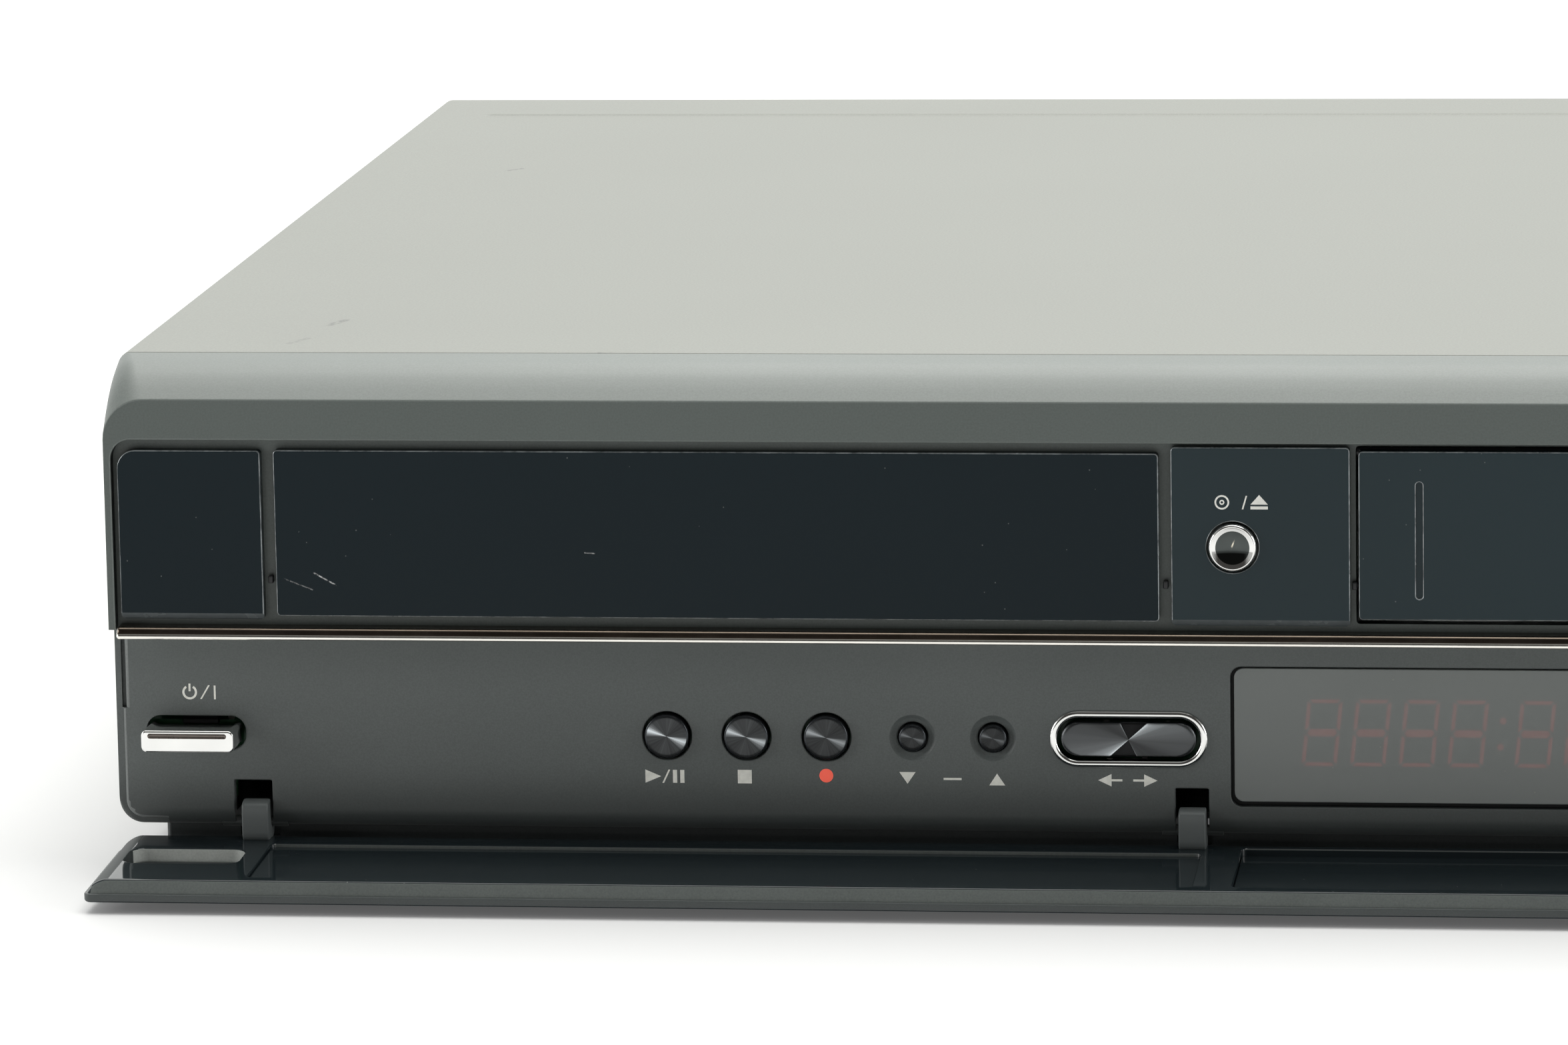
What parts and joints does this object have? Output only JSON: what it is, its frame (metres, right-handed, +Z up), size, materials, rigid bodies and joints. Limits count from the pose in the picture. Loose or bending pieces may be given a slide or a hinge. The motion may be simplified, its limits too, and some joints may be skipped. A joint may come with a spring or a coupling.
{
  "type": "disc player and cassette recorder",
  "caption": "Free-standing disc player and video cassette recorder with a sliding disc tray, a cassette flap and a flip-down door over its controls.",
  "frame": {"origin": "centre of the footprint at table level, with the door open", "axes": "+X to the right of someone facing the front, +Y from the front to the back, +Z up"},
  "size_m": [0.4324, 0.3807, 0.087],
  "materials": {
    "cover_paint": "satin light grey metallic paint, fine texture",
    "front_plastic": "charcoal moulded plastic, fine grain",
    "gloss_black": "high gloss black plastic",
    "chrome": "bright chrome",
    "dark_metal": "spun dark metal",
    "smoked_window": "smoked clear plastic",
    "bare_steel": "galvanised sheet steel",
    "pin_steel": "ground steel",
    "foot_rubber": "matt rubber",
    "screw_black": "black oxide",
    "mech_plastic": "black glass-filled plastic",
    "white_plastic": "natural acetal",
    "drum_alloy": "turned aluminium",
    "green_board": "green solder mask with parts",
    "brown_board": "paper laminate with parts",
    "display_glass": "display tube in its holder",
    "socket_plastic": "socket bodies, plated rings"
  },
  "bodies": {
    "casing": {"top_cover": "cover_paint", "front_bezel": "front_plastic", "rear_panel": "bare_steel", "chassis_pan": "bare_steel", "feet": "foot_rubber", "casing_screws": "screw_black", "chrome_strip": "chrome", "left_trim_plate": "gloss_black", "eject_trim_plate": "gloss_black", "right_trim_plate": "gloss_black", "display_window": "smoked_window", "door_hinge_pins": "pin_steel", "dubbing_ring": "chrome", "drive_chassis": "mech_plastic", "clamp_bridge": "bare_steel", "loading_motor": "bare_steel", "loading_belt": "foot_rubber", "deck_plate": "bare_steel", "lower_drum": "drum_alloy", "tape_heads": "pin_steel", "deck_motor": "mech_plastic", "main_board": "green_board", "power_board": "brown_board", "display_board": "green_board", "display_module": "display_glass", "fan_frame": "mech_plastic", "av_sockets": "socket_plastic", "mains_inlet": "mech_plastic"},
    "door": {"door_frame": "front_plastic", "door_panel": "gloss_black"},
    "tray": {"disc_tray": "mech_plastic", "tray_cover": "gloss_black"},
    "puck": {"clamp_puck": "white_plastic"},
    "pickup_deck": {"pickup_base": "bare_steel", "sled_rods": "pin_steel", "spindle_motor": "bare_steel"},
    "turntable": {"turntable": "mech_plastic"},
    "sled": {"pickup_sled": "drum_alloy"},
    "sled_pinion": {"sled_gear": "white_plastic"},
    "tray_gear": {"loading_gear": "white_plastic"},
    "cam": {"cam_slider": "white_plastic"},
    "flap": {"vcr_flap": "gloss_black"},
    "holder": {"cassette_holder": "bare_steel"},
    "drum": {"upper_drum": "drum_alloy"},
    "capstan": {"capstan": "pin_steel"},
    "pinch": {"pinch_arm": "foot_rubber"},
    "supply_reel": {"supply_reel": "mech_plastic"},
    "takeup_reel": {"takeup_reel": "mech_plastic"},
    "left_guide": {"left_guide": "pin_steel"},
    "right_guide": {"right_guide": "pin_steel"},
    "fan": {"fan_rotor": "mech_plastic"},
    "power_button": {"power_button": "chrome"},
    "dvd_eject_button": {"dvd_eject_button": "chrome"},
    "vcr_eject_button": {"vcr_eject_button": "chrome"},
    "play_button": {"play_button": "dark_metal"},
    "stop_button": {"stop_button": "dark_metal"},
    "record_button": {"record_button": "dark_metal"},
    "prog_down_button": {"prog_down_button": "dark_metal"},
    "prog_up_button": {"prog_up_button": "dark_metal"},
    "dubbing_button": {"dubbing_button": "dark_metal"}
  },
  "joints": [
    {"name": "door_hinge", "type": "hinge", "parent": "casing", "child": "door", "pos_m": [0, -0.15865, 0.009], "axis": [1, 0, 0], "range_deg": [-91.5, 0]},
    {"name": "tray_slide", "type": "slide", "parent": "casing", "child": "tray", "axis": [0, -1, 0], "range_m": [0, 0.13]},
    {"name": "tray_gear_spin", "type": "hinge", "parent": "casing", "child": "tray_gear", "pos_m": [-0.1522, -0.14365, 0.052], "axis": [0, 0, 1], "range_deg": [0, 621]},
    {"name": "puck_spin", "type": "hinge", "parent": "casing", "child": "puck", "pos_m": [-0.11285, -0.08815, 0.066], "axis": [0, 0, 1], "continuous": true},
    {"name": "cam_slide", "type": "slide", "parent": "casing", "child": "cam", "axis": [1, 0, 0], "range_m": [0, 0.015]},
    {"name": "pickup_lift", "type": "hinge", "parent": "casing", "child": "pickup_deck", "pos_m": [-0.11285, 0.01735, 0.0436], "axis": [1, 0, 0], "range_deg": [-3.01, 0]},
    {"name": "disc_spin", "type": "hinge", "parent": "pickup_deck", "child": "turntable", "pos_m": [-0.11285, -0.08815, 0.05], "axis": [0, 0, 1], "continuous": true},
    {"name": "sled_travel", "type": "slide", "parent": "pickup_deck", "child": "sled", "axis": [0, 1, 0], "range_m": [0, 0.035]},
    {"name": "sled_gear_spin", "type": "hinge", "parent": "pickup_deck", "child": "sled_pinion", "pos_m": [-0.076, -0.03565, 0.0458], "axis": [0, 0, 1], "range_deg": [-335, 0]},
    {"name": "vcr_flap_hinge", "type": "hinge", "parent": "casing", "child": "flap", "pos_m": [0.0899, -0.16025, 0.0729], "axis": [1, 0, 0], "range_deg": [0, 88], "stiffness_Nm_per_rad": 0.01},
    {"name": "holder_drop", "type": "slide", "parent": "casing", "child": "holder", "axis": [0, 0, -1], "range_m": [0, 0.018]},
    {"name": "drum_spin", "type": "hinge", "parent": "casing", "child": "drum", "pos_m": [0.092, 0.02635, 0.025], "axis": [0.0521, 0.0872, 0.9948], "continuous": true},
    {"name": "capstan_spin", "type": "hinge", "parent": "casing", "child": "capstan", "pos_m": [0.15, 0.00435, 0.02], "axis": [0, 0, 1], "continuous": true},
    {"name": "pinch_swing", "type": "hinge", "parent": "casing", "child": "pinch", "pos_m": [0.172, 0.01835, 0.026], "axis": [0, 0, 1], "range_deg": [0, 25]},
    {"name": "supply_spin", "type": "hinge", "parent": "casing", "child": "supply_reel", "pos_m": [0.0437, -0.07565, 0.024], "axis": [0, 0, 1], "continuous": true},
    {"name": "takeup_spin", "type": "hinge", "parent": "casing", "child": "takeup_reel", "pos_m": [0.1361, -0.07565, 0.024], "axis": [0, 0, 1], "continuous": true},
    {"name": "left_guide_load", "type": "slide", "parent": "casing", "child": "left_guide", "axis": [0, 1, 0], "range_m": [0, 0.045]},
    {"name": "right_guide_load", "type": "slide", "parent": "casing", "child": "right_guide", "axis": [0, 1, 0], "range_m": [0, 0.045]},
    {"name": "fan_spin", "type": "hinge", "parent": "casing", "child": "fan", "pos_m": [0.13, 0.17535, 0.048], "axis": [0, 1, 0], "continuous": true},
    {"name": "power_press", "type": "slide", "parent": "casing", "child": "power_button", "axis": [0, 1, 0], "range_m": [0, 0.0012], "stiffness_N_per_m": 300},
    {"name": "dvd_eject_press", "type": "slide", "parent": "casing", "child": "dvd_eject_button", "axis": [0, 1, 0], "range_m": [0, 0.0012], "stiffness_N_per_m": 300},
    {"name": "vcr_eject_press", "type": "slide", "parent": "casing", "child": "vcr_eject_button", "axis": [0, 1, 0], "range_m": [0, 0.0012], "stiffness_N_per_m": 300},
    {"name": "play_press", "type": "slide", "parent": "casing", "child": "play_button", "axis": [0, 1, 0], "range_m": [0, 0.0012], "stiffness_N_per_m": 300},
    {"name": "stop_press", "type": "slide", "parent": "casing", "child": "stop_button", "axis": [0, 1, 0], "range_m": [0, 0.0012], "stiffness_N_per_m": 300},
    {"name": "record_press", "type": "slide", "parent": "casing", "child": "record_button", "axis": [0, 1, 0], "range_m": [0, 0.0012], "stiffness_N_per_m": 300},
    {"name": "prog_down_press", "type": "slide", "parent": "casing", "child": "prog_down_button", "axis": [0, 1, 0], "range_m": [0, 0.0012], "stiffness_N_per_m": 300},
    {"name": "prog_up_press", "type": "slide", "parent": "casing", "child": "prog_up_button", "axis": [0, 1, 0], "range_m": [0, 0.0012], "stiffness_N_per_m": 300},
    {"name": "dubbing_press", "type": "slide", "parent": "casing", "child": "dubbing_button", "axis": [0, 1, 0], "range_m": [0, 0.0012], "stiffness_N_per_m": 300}
  ],
  "couplings": [
    {"joint": "tray_gear_spin", "follows": "tray_slide", "rad_per_m": 83.333},
    {"joint": "pickup_lift", "follows": "cam_slide", "rad_per_m": -3.4907},
    {"joint": "sled_gear_spin", "follows": "sled_travel", "rad_per_m": -166.67},
    {"joint": "right_guide_load", "follows": "left_guide_load", "ratio": 1}
  ]
}
